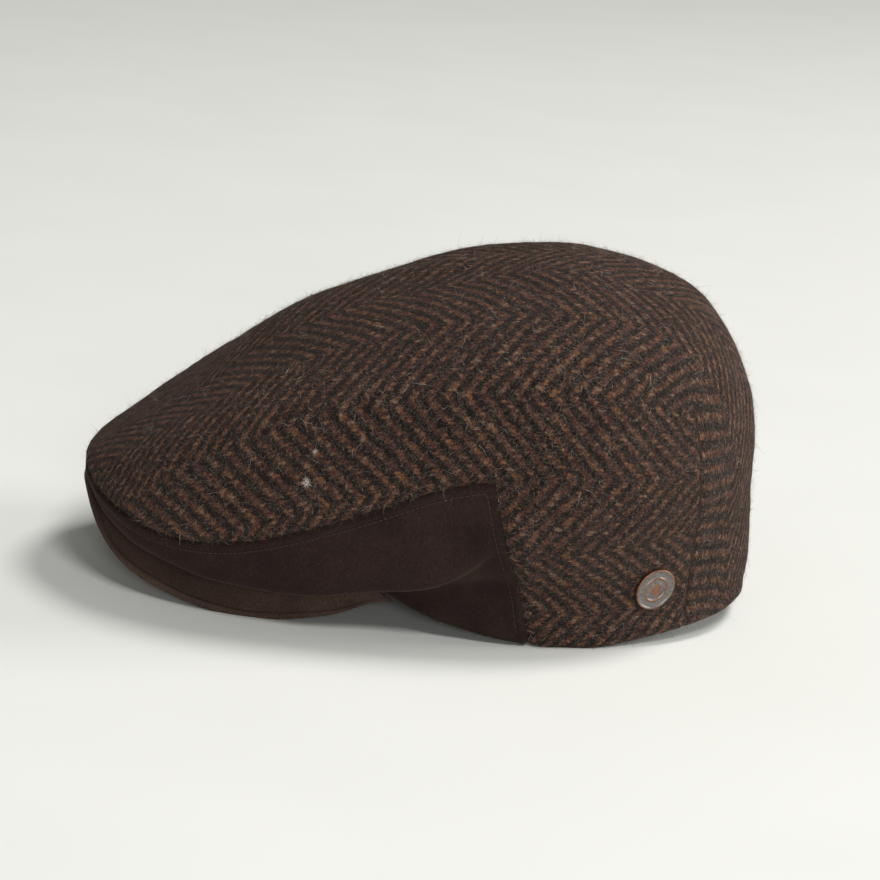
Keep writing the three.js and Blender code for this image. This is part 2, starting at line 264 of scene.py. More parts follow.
# From the cap as it is cut to the frame, in which it is tipped onto its brim and hem
def resting():
    tilt = Matrix.Rotation(math.radians(REST_TILT), 3, "X")
    angle, section = np.meshgrid(np.linspace(0, 2 * math.pi, 129), np.linspace(0, TOP, 57))
    turned = surface(angle, section).reshape(-1, 3) @ np.array(tilt).T
    low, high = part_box("crown")
    shift = np.array([0, high.y / MM - turned[:, 1].max(), high.z / MM - turned[:, 2].max()])
    return np.array(tilt), shift


TILT, SHIFT = resting()


def place(points):
    """Points of the cut cap, in millimetres, as points of the frame in metres."""
    placed = (points @ TILT.T + SHIFT) * MM
    placed[..., 2] = np.maximum(placed[..., 2], 0)
    return placed


# Pieces
def make_piece(name, points, faces, material, slot, **values):
    mesh = bpy.data.meshes.new(name)
    mesh.from_pydata(place(points).tolist(), [], faces.tolist() if hasattr(faces, "tolist") else faces)
    mesh.materials.append(material)
    mesh.polygons.foreach_set("use_smooth", [True] * len(mesh.polygons))
    for key, data in values.items():
        kind = "FLOAT_VECTOR" if data.ndim == 2 else "FLOAT"
        layer = mesh.attributes.new(key, kind, "POINT")
        layer.data.foreach_set("vector" if data.ndim == 2 else "value", data.astype(np.float32).ravel())
    mesh.validate()
    piece = bpy.data.objects.new(name, mesh)
    bpy.context.scene.collection.objects.link(piece)
    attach(piece, "root")
    return piece


def grid_faces(index, closed=False):
    """Quads over a grid of point numbers; rows run up, columns run round."""
    if closed:
        index = np.concatenate([index, index[:, :1]], 1)
    return np.stack([index[:-1, :-1], index[:-1, 1:], index[1:, 1:], index[1:, :-1]], -1).reshape(-1, 4)


# How finely the cloth is divided; every count is a whole number of LINING_STEP
SEAM_ROUNDS = 6
LINING_STEP = 6
BAND_COLUMNS = 150
DART_COLUMNS = 36
REAR_COLUMNS = 78
BAND_ROWS = 54
CROWN_ROWS = 132
HAIRS = 34000
HALF_COLUMNS = BAND_COLUMNS + REAR_COLUMNS
ROWS = BAND_ROWS + CROWN_ROWS + 1
TOP_GAP = 0.04

# Topstitching of the band
STITCH_INSET = 3.9
STITCH_PITCH = 2.2
THREAD = 0.34

# Crease of the band over its tucked lower part: (angle from the front, section number)
CREASE = ((0, 2.3), (38, 2.1), (50, 1.8), (60, 1.6), (70, 1.4), (76, 1.25), (83, 1.75), (89, 2.4), (96, 2.9))

# Dart at the rear side: (section number, angle from the front)
DART = ((0.0, 136.5), (0.6, 136.5), (1.0, 137.0), (1.6, 137.0), (3.1, 134.5), (3.85, 133.5), (4.2, 133.0))
DART_TOP = 4.15
DART_END_ANGLE = 133.0
dart_angle = Curve(DART)
crease_section = Curve(CREASE)


def crowded(share, amount):
    """A share that runs slowly at both of its ends."""
    return share - amount * np.sin(2 * math.pi * share) / (2 * math.pi)


def crowded_start(share, amount):
    """A share that runs slowly at its start."""
    return share - amount * np.sin(math.pi * share) / math.pi


def cloth_grid():
    """Angles and sections of a grid whose lines follow the seams of the band and the dart."""
    number = np.arange(-HALF_COLUMNS, HALF_COLUMNS)
    side = np.sign(number)
    number = np.abs(number)
    j = np.arange(ROWS)[:, None]
    in_band = number <= BAND_COLUMNS
    rear = np.clip(number - BAND_COLUMNS, 0, REAR_COLUMNS)
    before = crowded(np.clip(rear / DART_COLUMNS, 0, 1), 0.5)
    after = crowded_start(np.clip((rear - DART_COLUMNS) / (REAR_COLUMNS - DART_COLUMNS), 0, 1), 0.5)
    ahead = 1 - crowded_start(1 - np.clip(number / BAND_COLUMNS, 0, 1), 0.5)
    seam = band_seam(ahead * BAND_REAR_ANGLE)
    for _ in range(SEAM_ROUNDS):
        seam = band_seam(ahead * (BAND_REAR_ANGLE - BAND_REAR_LEAN * seam))
    low = seam * crowded(j / BAND_ROWS, 0.6)
    up = crowded_start(np.clip((j - BAND_ROWS) / CROWN_ROWS, 0, 1), 0.65)
    section = np.where(j <= BAND_ROWS, low, mix(seam, TOP - TOP_GAP, up))
    seam_angle = BAND_REAR_ANGLE - BAND_REAR_LEAN * np.minimum(section, band_seam(90.0) + 0.5)
    dart = mix(dart_angle(section), DART_END_ANGLE, smooth((section - DART_TOP) / 2))
    behind = np.where(rear <= DART_COLUMNS, mix(seam_angle, dart, before), mix(dart, 180.0, after))
    angle = side * np.where(in_band, ahead * seam_angle, behind)
    return np.radians(angle), section, side * number


def soft_noise(points, size, seed, waves=14):
    """Smooth random heights between about -1 and 1, with bumps of about one size."""
    random = np.random.default_rng(seed)
    total = np.zeros(points.shape[:-1])
    for _ in range(waves):
        direction = unit(random.normal(size=3)) * random.uniform(0.7, 1.5) * math.pi / size
        total += np.sin(points @ direction + random.uniform(0, 2 * math.pi))
    return total / math.sqrt(waves / 2) / 1.6


def line_distance(points, line, reach=14):
    """Distance of each point from a line, with the far ones left at the reach."""
    flat = points.reshape(-1, 3)
    best = np.full(len(flat), float(reach))
    low, high = line.min(0) - reach, line.max(0) + reach
    near = np.where(((flat > low) & (flat < high)).all(1))[0]
    some = flat[near]
    found = best[near]
    for a, b in zip(line[:-1], line[1:]):
        along = b - a
        share = np.clip(((some - a) @ along) / max(along @ along, 1e-9), 0, 1)
        found = np.minimum(found, np.linalg.norm(some - a - share[:, None] * along, axis=1))
    best[near] = found
    return best.reshape(points.shape[:-1])


ANGLE, SECTION, NUMBER = cloth_grid()
BASE = surface(ANGLE, SECTION)
NORMAL = outward(ANGLE, SECTION)
LEFT = NUMBER >= 0


def column_of(number):
    return int(np.where(NUMBER == number)[0][0])


def seam_lines():
    """The band's seam and the dart, as lines of points on the wearer's left side."""
    ends = [column_of(0), column_of(BAND_COLUMNS)]
    upper = BASE[BAND_ROWS, ends[0]:ends[1] + 1]
    rear = BASE[:BAND_ROWS + 1, ends[1]][::-1]
    dart = column_of(BAND_COLUMNS + DART_COLUMNS)
    top = int(np.searchsorted(SECTION[:, dart], DART_TOP))
    return upper, rear, BASE[:top, dart]


def distances():
    mirrored = np.abs(BASE) * [1, 0, 0] + BASE * [0, 1, 1]
    upper, rear, dart = seam_lines()
    coarse = 2
    to_upper = line_distance(mirrored, upper[::coarse])
    to_rear = line_distance(mirrored, rear[::coarse])
    return to_upper, to_rear, line_distance(mirrored, dart[::coarse])


TO_UPPER, TO_REAR, TO_DART = distances()
TO_SEAM = np.minimum(TO_UPPER, TO_REAR)
HEM_RISE = np.linalg.norm(BASE - BASE[:1], axis=-1)


# Depths and heights of the cloth's relief, in millimetres
SEAM_DEPTH = 2.2
DART_DEPTH = 0.7
CROWN_HEM_DEPTH = 1.4
BAND_HEM_DEPTH = 1.2
CREASE_RIDGE = 1.3
CREASE_DEPTH = 2.8
REAR_FULLNESS = 2.6
REAR_FULL_SECTION = 1.5
REAR_FULL_ANGLE = 138.0
BAND_WALL = WALL * 0.8


def crown_relief():
    """How far the crown's cloth stands out of its base surface, in millimetres."""
    relief = -SEAM_DEPTH * bell(TO_SEAM, 1.3) + 0.9 * bell(TO_SEAM - 5, 4)
    relief += -DART_DEPTH * bell(TO_DART, 0.8) + 0.2 * bell(TO_DART - 3, 2.5)
    relief += 0.4 * soft_noise(BASE, 34, 3) + 0.25 * soft_noise(BASE, 15, 4)
    relief += 0.1 * soft_noise(BASE, 5, 5)
    relief -= CROWN_HEM_DEPTH * bell(HEM_RISE, 1.1) - 0.4 * bell(HEM_RISE - 3, 2)
    relief -= 0.35 * bell(HEM_RISE - 7.5, 0.9)
    turn = np.degrees(np.abs(ANGLE))
    relief += REAR_FULLNESS * bell(SECTION - REAR_FULL_SECTION, 1.1) * smooth((turn - REAR_FULL_ANGLE) / 34)
    return relief


def band_relief():
    """How far the band's cloth stands out of its base surface, in millimetres."""
    relief = -SEAM_DEPTH * bell(TO_SEAM, 0.8) + 0.3 * bell(TO_SEAM - 2.2, 1.4)
    relief += -0.4 * bell(TO_SEAM - STITCH_INSET, 0.7) + 0.3 * bell(TO_SEAM - 7, 3)
    relief += 0.35 * soft_noise(BASE, 26, 6) + 0.12 * soft_noise(BASE, 9, 7)
    turn = np.degrees(np.abs(ANGLE))
    above = SECTION - crease_section(turn)
    strength = smooth((turn - 48) / 24) * smooth(TO_REAR / 9) * smooth(SECTION / 0.5)
    relief += strength * (CREASE_RIDGE * bell(above - 0.2, 0.3) - CREASE_DEPTH * smooth(0.1 - above / 0.4))
    relief -= BAND_HEM_DEPTH * bell(HEM_RISE, 1.1)
    return relief


def used_only(points, faces, **values):
    """Drops the points that no face uses."""
    used = np.unique(np.concatenate([np.asarray(face) for face in faces]))
    renumber = np.full(len(points), -1)
    renumber[used] = np.arange(len(used))
    faces = [renumber[face].tolist() for face in faces]
    return points[used], faces, {key: data[used] for key, data in values.items()}


def shell(relief, keep, thickness, values, top=False):
    """A cloth sheet over the kept cells of the grid, with a coarser lining side and closed edges."""
    rows, cols = relief.shape
    outer = (BASE + NORMAL * relief[..., None]).reshape(-1, 3)
    step = LINING_STEP
    inner = (BASE + NORMAL * (relief - thickness)[..., None])[::step].reshape(-1, 3)
    first = len(outer)
    fine = np.arange(rows * cols).reshape(rows, cols)
    coarse = first + np.arange(len(inner)).reshape(-1, cols)
    nxt = np.roll(np.arange(cols), -1)
    faces = np.stack([fine[:-1], fine[:-1][:, nxt], fine[1:][:, nxt], fine[1:]], -1)[keep].tolist()
    kept = keep[::step]
    lining = np.stack([coarse[:-1], coarse[1:], coarse[1:][:, nxt], coarse[:-1][:, nxt]], -1)
    faces += lining[kept].tolist()
    for r, c in zip(*np.where(kept)):
        j, d = r * step, nxt[c]
        if r == 0 or not kept[r - 1, c]:
            faces.append([fine[j, c], coarse[r, c], coarse[r, d], fine[j, d]])
        if (r == len(kept) - 1 and not top) or (r < len(kept) - 1 and not kept[r + 1, c]):
            faces.append([fine[j + step, d], coarse[r + 1, d], coarse[r + 1, c], fine[j + step, c]])
        if not kept[r, c - 1]:
            faces.append([*fine[j:j + step + 1, c][::-1], coarse[r, c], coarse[r + 1, c]])
        if not kept[r, d]:
            faces.append([*fine[j:j + step + 1, d], coarse[r + 1, d], coarse[r, d]])
    points = np.concatenate([outer, inner])
    values = {
        key: np.concatenate([v.reshape(rows * cols, -1), v[::step].reshape(len(inner), -1)])
        for key, v in values.items()
    }
    if top:
        peak = np.array([0, CROWN_TOP_SHIFT, CROWN_HEIGHT]) + [0, 0, relief[-1].mean()]
        points = np.concatenate([points, [peak, peak - [0, 0, thickness]]])
        values = {key: np.concatenate([v, [v[fine[-1]].mean(0)] * 2]) for key, v in values.items()}
        n = len(points)
        faces += [[fine[-1, c], fine[-1, nxt[c]], n - 2] for c in range(cols)]
        faces += [[coarse[-1, nxt[c]], coarse[-1, c], n - 1] for c in range(cols)]
    points, faces, values = used_only(points, faces, **values)
    return points, faces, {key: v.squeeze() for key, v in values.items()}


# Where the weave's threads run: level in front, a fan over the rear, on the bias behind the dart
FAN_PIVOT = (76.0, 98.0)
FAN_ANGLE = 30.0
DART_BIAS = 45.0
BIAS_END_ANGLE = 146.0


def thread_runs(centre, normal, behind):
    """Unit directions across and along the cloth at the middle of each triangle."""
    back, above = centre[:, 1] - FAN_PIVOT[0], centre[:, 2] - FAN_PIVOT[1]
    lean = np.clip(np.arctan2(np.maximum(back, 0), np.maximum(above, 1e-3)), 0, math.radians(FAN_ANGLE))
    lean = np.where(~behind & (above < 0), 0, lean)
    lengthwise = np.stack([np.zeros_like(lean), np.cos(lean), -np.sin(lean)], 1)
    lengthwise = unit(lengthwise - (lengthwise * normal).sum(1)[:, None] * normal)
    level = unit(np.cross([0, 0, 1], normal))
    turn = np.degrees(np.arctan2(centre[:, 0], -centre[:, 1]))
    drop = np.radians(mix(DART_BIAS, 90, smooth((turn - BIAS_END_ANGLE) / 34)))[:, None]
    rear_run = level * np.cos(drop) - np.cross(normal, level) * np.sin(drop)
    lengthwise = np.where(behind[:, None], rear_run, lengthwise)
    return np.cross(lengthwise, normal), lengthwise


def weave_fit():
    """Lays the cloth's own threads on the crown: how far across and along the cloth each point lies."""
    step = LINING_STEP
    dart = BAND_COLUMNS + DART_COLUMNS
    start = column_of(0)
    columns = np.append(np.arange(start, start + HALF_COLUMNS, step), 0)
    rows = np.arange(0, ROWS, step)
    coarse = BASE[np.ix_(rows, columns)].copy()
    coarse[:, [0, -1], 0] = 0
    open_rows = SECTION[rows, column_of(dart)] < DART_TOP
    n_rows, n_cols = coarse.shape[:2]
    index = np.arange(n_rows * n_cols).reshape(n_rows, n_cols)
    at = dart // step
    rear_copy = index.copy()
    rear_copy[open_rows, at] = n_rows * n_cols + np.arange(open_rows.sum())
    total = n_rows * n_cols + int(open_rows.sum())
    place_of = np.zeros((total, 3))
    place_of[index] = coarse
    place_of[rear_copy] = coarse
    triangles, behind = [], []
    for r in range(n_rows - 1):
        for c in range(n_cols - 1):
            if rows[r] < BAND_ROWS and c * step < BAND_COLUMNS:
                continue
            source = rear_copy if c >= at else index
            p, q, s, t = source[r, c], source[r, c + 1], source[r + 1, c + 1], source[r + 1, c]
            triangles += [(p, q, s), (p, s, t), (p, q, t), (q, s, t)]
            behind += [c >= at and bool(open_rows[r])] * 4
    triangles, behind = np.array(triangles), np.array(behind)
    p, q, s = (place_of[triangles[:, k]] for k in range(3))
    a, b = q - p, s - p
    normal = np.cross(a, b)
    area = np.linalg.norm(normal, axis=1) / 2
    good = area > 1e-6
    triangles, behind, a, b, normal, area = (v[good] for v in (triangles, behind, a, b, normal, area))
    centre = ((p + q + s) / 3)[good]
    normal = unit(normal)
    normal *= np.sign((normal * (centre - [0, 0, 40])).sum(1))[:, None]
    sideways, lengthwise = thread_runs(centre, normal, behind)
    aa, ab, bb = (a * a).sum(1), (a * b).sum(1), (b * b).sum(1)
    inverse = np.stack([np.stack([bb, -ab], 1), np.stack([-ab, aa], 1)], 1)
    inverse = inverse / (aa * bb - ab * ab)[:, None, None]
    weight = inverse * area[:, None, None]
    rise = np.array([[-1.0, 1.0, 0.0], [-1.0, 0.0, 1.0]])
    stiff = np.einsum("ki,nkl,lj->nij", rise, weight, rise)
    matrix = np.eye(total) * 1e-6
    np.add.at(matrix, (triangles[:, :, None], triangles[:, None, :]), stiff)
    fields = []
    for direction, pinned in ((sideways, np.unique(index[:, [0, -1]])), (lengthwise, index[-1, :1])):
        wanted = np.stack([(direction * a).sum(1), (direction * b).sum(1)], 1)
        load = np.zeros(total)
        np.add.at(load, triangles, np.einsum("ki,nkl,nl->ni", rise, weight, wanted))
        held = matrix.copy()
        held[pinned, pinned] += 1e4
        found = np.linalg.solve(held, load)
        fields.append(spread(found, index[:, :at + 1], rear_copy[:, at:], rows, at * step))
    return fields


def spread(found, front, rear, rows, dart):
    """From the coarse grid of one side to the fine grid all round."""
    step = LINING_STEP
    parts = []
    for nodes, first, last in ((front, 0, dart), (rear, dart, HALF_COLUMNS)):
        values = found[nodes]
        fine_cols = np.arange(first, last + 1)
        coarse_cols = np.arange(first, last + 1, step)
        wide = np.stack([np.interp(fine_cols, coarse_cols, line) for line in values])
        parts.append(np.stack([np.interp(np.arange(ROWS), rows, line) for line in wide.T], 1))
    half = np.concatenate([parts[0], parts[1][:, 1:]], 1)
    return half[:, np.abs(NUMBER)]


def colour(red, green, blue):
    """A colour as the eye reads it, 0 to 255, for a socket."""
    linear = []
    for part in (red, green, blue):
        share = part / 255
        linear.append(share / 12.92 if share <= 0.04045 else ((share + 0.055) / 1.055) ** 2.4)
    return (*linear, 1.0)


# The cloths' colours as they look in even light, each at its place on a scale of 0 to 1
def shades(*rows):
    return [(stop, colour(*rest)) for stop, *rest in rows]


RUST_STOPS = shades(
    (0.34, 50, 32, 30), (0.44, 78, 46, 40), (0.52, 94, 58, 47), (0.61, 134, 88, 58), (0.7, 130, 108, 92),
)
CHARCOAL_STOPS = shades((0.34, 11, 9, 10), (0.52, 20, 17, 17), (0.7, 42, 35, 33))
FUZZ_STOPS = shades((0.35, 70, 58, 53), (0.6, 130, 114, 102))
FIBRE_TURNS = (12.0, 58.0, -47.0)


# Material maths: a wrapped socket takes part in ordinary expressions
class Value:
    """A socket on which arithmetic adds Math nodes."""

    def __init__(self, finish, socket):
        self.finish = finish
        self.socket = socket

    def maths(self, operation, *values):
        return self.finish.node("Math", {"operation": operation}, values)

    def __add__(self, other):
        return self.maths("ADD", self, other)

    def __sub__(self, other):
        return self.maths("SUBTRACT", self, other)

    def __rsub__(self, other):
        return self.maths("SUBTRACT", other, self)

    def __mul__(self, other):
        return self.maths("MULTIPLY", self, other)

    def __truediv__(self, other):
        return self.maths("DIVIDE", self, other)


class Finish:
    """One material and the nodes that make it."""

    def __init__(self, name, **constants):
        self.material = bpy.data.materials.new(name)
        self.material.use_nodes = True
        self.tree = self.material.node_tree
        self.shader = self.tree.nodes["Principled BSDF"]
        for key, value in constants.items():
            self.shader.inputs[key.replace("_", " ")].default_value = value

    def node(self, kind, settings=None, inputs=(), output=0):
        made = self.tree.nodes.new("ShaderNode" + kind)
        for key, value in (settings or {}).items():
            setattr(made, key, value)
        pairs = inputs.items() if isinstance(inputs, dict) else enumerate(inputs)
        for key, value in pairs:
            if isinstance(value, Value):
                self.tree.links.new(value.socket, made.inputs[key])
            else:
                made.inputs[key].default_value = value
        return Value(self, made.outputs[output])

    def ramp(self, factor, stops):
        made = self.tree.nodes.new("ShaderNodeValToRGB")
        ramp = made.color_ramp
        while len(ramp.elements) < len(stops):
            ramp.elements.new(0.5)
        for element, (place_of_stop, shade) in zip(ramp.elements, stops):
            element.position = place_of_stop
            element.color = shade
        self.tree.links.new(factor.socket, made.inputs[0])
        return Value(self, made.outputs[0])

    def step(self, value, low, high):
        """0 below low, 1 above high, smooth between."""
        settings = {"interpolation_type": "SMOOTHSTEP"}
        return self.node("MapRange", settings, [value, low, high, 0.0, 1.0])

    def noise(self, where, scale, detail=2.0, roughness=0.5):
        inputs = {"Vector": where, "Scale": scale, "Detail": detail, "Roughness": roughness}
        return self.node("TexNoise", {}, inputs)

    def blend(self, factor, below, above, how="MIX"):
        inputs = {0: factor, 6: below, 7: above}
        return self.node("Mix", {"data_type": "RGBA", "blend_type": how}, inputs, output=2)

    def stored(self, name):
        return self.node("Attribute", {"attribute_name": name}, output=2)

    def here(self):
        """Places on the piece itself, in millimetres."""
        where = self.node("TexCoord", output=3)
        return self.node("VectorMath", {"operation": "SCALE"}, {0: where, 3: 1 / MM})

    def vector(self, *parts):
        return self.node("CombineXYZ", {}, parts)

    def feed(self, name, value):
        self.tree.links.new(value.socket, self.shader.inputs[name])

    def bump(self, height, distance, strength=1.0):
        inputs = {"Height": height, "Distance": distance * MM, "Strength": strength}
        self.feed("Normal", self.node("Bump", {}, inputs))


# Finishes
YARN = 1.2
FLOAT_PERIOD = 7.0


def fibres(finish, across, along, turn, spacing, seed):
    """Thin ragged lines of loose fibre that lie at one angle to the cloth's length."""
    cosine, sine = math.cos(math.radians(turn)), math.sin(math.radians(turn))
    run = along * cosine + across * sine
    over = across * cosine - along * sine
    where = finish.vector(run / (spacing * 7), over / spacing, seed)
    inputs = {"Vector": where, "Scale": 1.0, "Detail": 2.0, "Roughness": 0.6, "Distortion": 0.6}
    return finish.node("TexNoise", {}, inputs)


def tweed():
    finish = Finish("tweed", Roughness=0.95, Sheen_Weight=0.12, Sheen_Roughness=0.5)
    finish.shader.inputs["Specular IOR Level"].default_value = 0.12
    finish.shader.inputs["Sheen Tint"].default_value = colour(200, 180, 165)
    across, along = finish.stored("across"), finish.stored("along")
    here = finish.here()
    wander = finish.noise(here, 0.12, 1.0) - 0.5
    fray = finish.noise(here, 0.7, 3.0, 0.7) - 0.5
    side = across + wander * 2.0 + fray * 1.6 + COLUMN_START
    yarn = finish.node("Math", {"operation": "FLOOR"}, [side / YARN])
    stepped = (yarn + 0.5) * YARN * 0.7 + side * 0.3
    turned = finish.node("Math", {"operation": "PINGPONG"}, [stepped, COLUMN_WIDTH])
    shuffle = finish.node("TexNoise", {}, {"Vector": finish.vector(yarn, along / 9, 1.5), "Scale": 1.3})
    phase = (along + turned + fray * 2.4 + (shuffle - 0.5) * 2.6) / FLOAT_PERIOD
    wave = finish.node("Math", {"operation": "PINGPONG"}, [phase, 0.5]) * 2
    yarn_place = finish.node("Math", {"operation": "FRACT"}, [side / YARN]) - 0.5
    yarn_round = 1 - finish.node("Math", {"operation": "ABSOLUTE"}, [yarn_place]) * 2
    fine = finish.noise(here, 1.5, 3.0, 0.7)
    float_mask = finish.step(wave + (fine - 0.5) * 1.3 + (yarn_round - 0.5) * 0.15, 0.38, 0.74)
    thread = finish.vector(yarn, along / 5, 0.0)
    hue = finish.node("TexNoise", {}, {"Vector": thread, "Scale": 1.1, "Detail": 1.5})
    rust = finish.ramp(hue, RUST_STOPS)
    dark = finish.ramp(finish.noise(here, 0.55, 3.0, 0.75), CHARCOAL_STOPS)
    body = finish.blend(float_mask, dark, rust)
    loose = [fibres(finish, across, along, turn, 0.42, seed) for seed, turn in enumerate(FIBRE_TURNS)]
    lines = [finish.step(line, 0.56, 0.7) for line in loose]
    light = finish.node("Math", {"operation": "MAXIMUM"}, [lines[0], lines[1]])
    light = finish.node("Math", {"operation": "MAXIMUM"}, [light, lines[2]])
    tint = finish.ramp(finish.noise(here, 0.9, 2.0), FUZZ_STOPS)
    body = finish.blend(light * 0.55, body, tint)
    gaps = finish.step(loose[0] + loose[1] + loose[2], 1.15, 1.6)
    speck = finish.step(finish.noise(here, 1.0, 3.0, 0.75), 0.34, 0.66)
    # Painted shade: the colour is darkened in the gaps between the loose fibres and at the edges of each
    # yarn; speck and broad noise then add random tone
    yarn_shade_and_tone = gaps * 0.6 + finish.step(yarn_round, -0.3, 0.6) * 0.25 + 0.3
    yarn_shade_and_tone = yarn_shade_and_tone * (speck + 0.36)
    fleck = finish.step(finish.noise(here, 0.5, 1.0), 0.73, 0.77)
    body = finish.blend(fleck * 0.7, body, colour(132, 84, 38))
    yarn_shade_and_tone = yarn_shade_and_tone * (finish.noise(here, 0.07, 3.0, 0.6) * 0.9 + 0.55)
    tone = finish.vector(yarn_shade_and_tone, yarn_shade_and_tone, yarn_shade_and_tone)
    finish.feed("Base Color", finish.blend(1.0, body, tone, "MULTIPLY"))
    height = yarn_round * 0.3 + float_mask * 0.3 + fine * 0.7 + light * 0.6 + gaps * 0.4
    finish.bump(height, 0.7, 1.0)
    return finish.material


def moleskin(name="moleskin", dark=(36, 26, 24), light=(45, 33, 30)):
    finish = Finish(name, Roughness=0.9, Sheen_Weight=0.2, Sheen_Roughness=0.35)
    finish.shader.inputs["Specular IOR Level"].default_value = 0.1
    finish.shader.inputs["Sheen Tint"].default_value = colour(190, 165, 145)
    here = finish.here()
    stretched = finish.node("VectorMath", {"operation": "MULTIPLY"}, [here, (2.2, 2.2, 0.5)])
    nap = finish.noise(stretched, 1.0, 3.0, 0.65)
    patches = finish.noise(here, 0.05, 2.0, 0.5)
    base = finish.ramp(patches, [(0.3, colour(*dark)), (0.7, colour(*light))])
    grain = finish.noise(here, 2.6, 2.0, 0.7)
    mark = finish.step(nap, 0.35, 0.7) * 0.5 + finish.step(grain, 0.3, 0.7) * 0.6 + 0.5
    tone = finish.vector(mark, mark, mark)
    base = finish.blend(1.0, base, tone, "MULTIPLY")
    lint = finish.step(finish.noise(here, 1.1, 1.0, 0.5), 0.72, 0.78) * 0.6
    finish.feed("Base Color", finish.blend(lint, base, colour(84, 68, 58)))
    finish.bump(nap + grain, 0.25, 0.8)
    return finish.material


def wool_hair():
    finish = Finish("wool_hair", Roughness=0.7)
    finish.shader.inputs["Specular IOR Level"].default_value = 0.3
    shade = finish.stored("shade")
    finish.feed("Base Color", finish.ramp(shade, [
        (0.0, colour(50, 41, 37)), (0.35, colour(94, 78, 69)), (0.7, colour(150, 133, 119)),
        (0.95, colour(216, 208, 196)),
    ]))
    return finish.material


def aged_metal():
    finish = Finish("aged_metal", Metallic=0.9, Roughness=0.42)
    here = finish.here()
    worn = finish.noise(here, 0.8, 4.0, 0.65)
    ring = finish.stored("patina")
    copper = finish.ramp(worn, [(0.3, colour(104, 74, 60)), (0.7, colour(160, 120, 98))])
    slate = finish.ramp(worn, [(0.3, colour(96, 94, 95)), (0.7, colour(146, 140, 135))])
    finish.feed("Base Color", finish.blend(ring, copper, slate))
    finish.feed("Roughness", finish.step(worn, 0.3, 0.8) * 0.25 + 0.35)
    finish.bump(finish.noise(here, 3.0, 3.0, 0.6), 0.08, 0.6)
    return finish.material


def thread_finish():
    finish = Finish("sewing_thread", Roughness=0.7)
    here = finish.here()
    finish.feed("Base Color", finish.ramp(finish.noise(here, 2.0), [
        (0.35, colour(46, 34, 29)), (0.65, colour(64, 48, 40)),
    ]))
    return finish.material


def floor_finish():
    finish = Finish("studio_floor", Roughness=0.9)
    here = finish.here()
    tone = finish.noise(here, 0.01, 1.0)
    finish.feed("Base Color", finish.ramp(tone, [
        (0.3, colour(228, 229, 224)), (0.7, colour(230, 231, 226)),
    ]))
    return finish.material


# The pieces
def band_cells():
    both = (np.abs(NUMBER) <= BAND_COLUMNS) & (np.abs(np.roll(NUMBER, -1)) <= BAND_COLUMNS)
    return (np.arange(ROWS - 1)[:, None] < BAND_ROWS) & both


CROWN_RELIEF = crown_relief()
BAND_RELIEF = band_relief()


def make_crown():
    across, along = weave_fit()
    across = across * np.sign(NUMBER)
    values = {"across": across, "along": along}
    points, faces, values = shell(CROWN_RELIEF, ~band_cells(), WALL, values, top=True)
    piece = make_piece("crown_tweed", points, faces, tweed(), "herringbone_wool", **values)
    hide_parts("crown")


def make_band():
    points, faces, _ = shell(BAND_RELIEF, band_cells(), BAND_WALL, {})
    piece = make_piece("side_band_moleskin", points, faces, moleskin(), "napped_cotton")
    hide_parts("side_band")


def tube(line, radius, sides=6):
    """Points and faces of a closed round thread along a line."""
    along = unit(np.gradient(line, axis=0))
    side = unit(np.cross(along, [0.3, 0.2, 1.0]))
    up = np.cross(side, along)
    turn = np.arange(sides) / sides * 2 * math.pi
    ends = np.sin(np.linspace(0.12, math.pi - 0.12, len(line))) ** 0.4
    ring = side[:, None] * np.cos(turn)[:, None] + up[:, None] * np.sin(turn)[:, None]
    points = (line[:, None] + ring * (radius * ends)[:, None, None]).reshape(-1, 3)
    index = np.arange(len(points)).reshape(len(line), sides)
    faces = grid_faces(index, closed=True).tolist()
    faces += [index[0][::-1].tolist(), index[-1].tolist()]
    return points, faces


def join(parts):
    points, faces, first = [], [], 0
    for some, those in parts:
        points.append(some)
        faces += [[i + first for i in face] for face in those]
        first += len(some)
    return np.concatenate(points), faces


def evenly(line, spacing):
    """Points at an even spacing along a line."""
    length = np.concatenate([[0], np.cumsum(np.linalg.norm(np.diff(line, axis=0), axis=1))])
    at = np.arange(0, length[-1], spacing)
    return np.stack([np.interp(at, length, line[:, k]) for k in range(3)], 1)


def crossing(run, places):
    """Where a distance that grows along a run of places first reaches the stitches' inset."""
    at = max(int(np.argmax(run >= STITCH_INSET)), 1)
    share = (STITCH_INSET - run[at - 1]) / max(run[at] - run[at - 1], 1e-6)
    return at, mix(places[at - 1], places[at], share)


def stitch_line():
    """The line of the topstitching on the band, on the wearer's left side."""
    surfaced = BASE + NORMAL * (BAND_RELIEF + THREAD * 0.25)[..., None]
    first, last = column_of(0), column_of(BAND_COLUMNS)
    line = []
    for c in range(first, last + 1):
        at, place_of_stitch = crossing(TO_UPPER[:BAND_ROWS + 1, c][::-1], surfaced[:BAND_ROWS + 1, c][::-1])
        if TO_REAR[BAND_ROWS - at, c] > STITCH_INSET:
            line.append(place_of_stitch)
    for r in range(BAND_ROWS, 2, -1):
        at, place_of_stitch = crossing(TO_REAR[r, first:last + 1][::-1], surfaced[r, first:last + 1][::-1])
        if TO_UPPER[r, last - at] > STITCH_INSET:
            line.append(place_of_stitch)
    return np.array(line)


def make_stitches():
    left = stitch_line()
    parts = []
    for side in (1, -1):
        fine = evenly(left * [side, 1, 1], STITCH_PITCH / 5)
        for i in range(2, len(fine) - 5, 5):
            parts.append(tube(fine[i:i + 5], THREAD / 2))
    points, faces = join(parts)
    make_piece("band_topstitching", points, faces, thread_finish(), "napped_cotton")


# The brim: a flat stiff crescent whose cloth is turned round its edge
BRIM_COLUMNS = 200
BRIM_ACROSS = 36
BRIM_EDGE_STEPS = 8
# Painted light: the brim's moleskin is a lighter copy of the band's, standing in for the light that falls on
# the brim's top
BRIM_PAINTED_LIT_DARK = (66, 52, 46)
BRIM_PAINTED_LIT_LIGHT = (80, 64, 55)


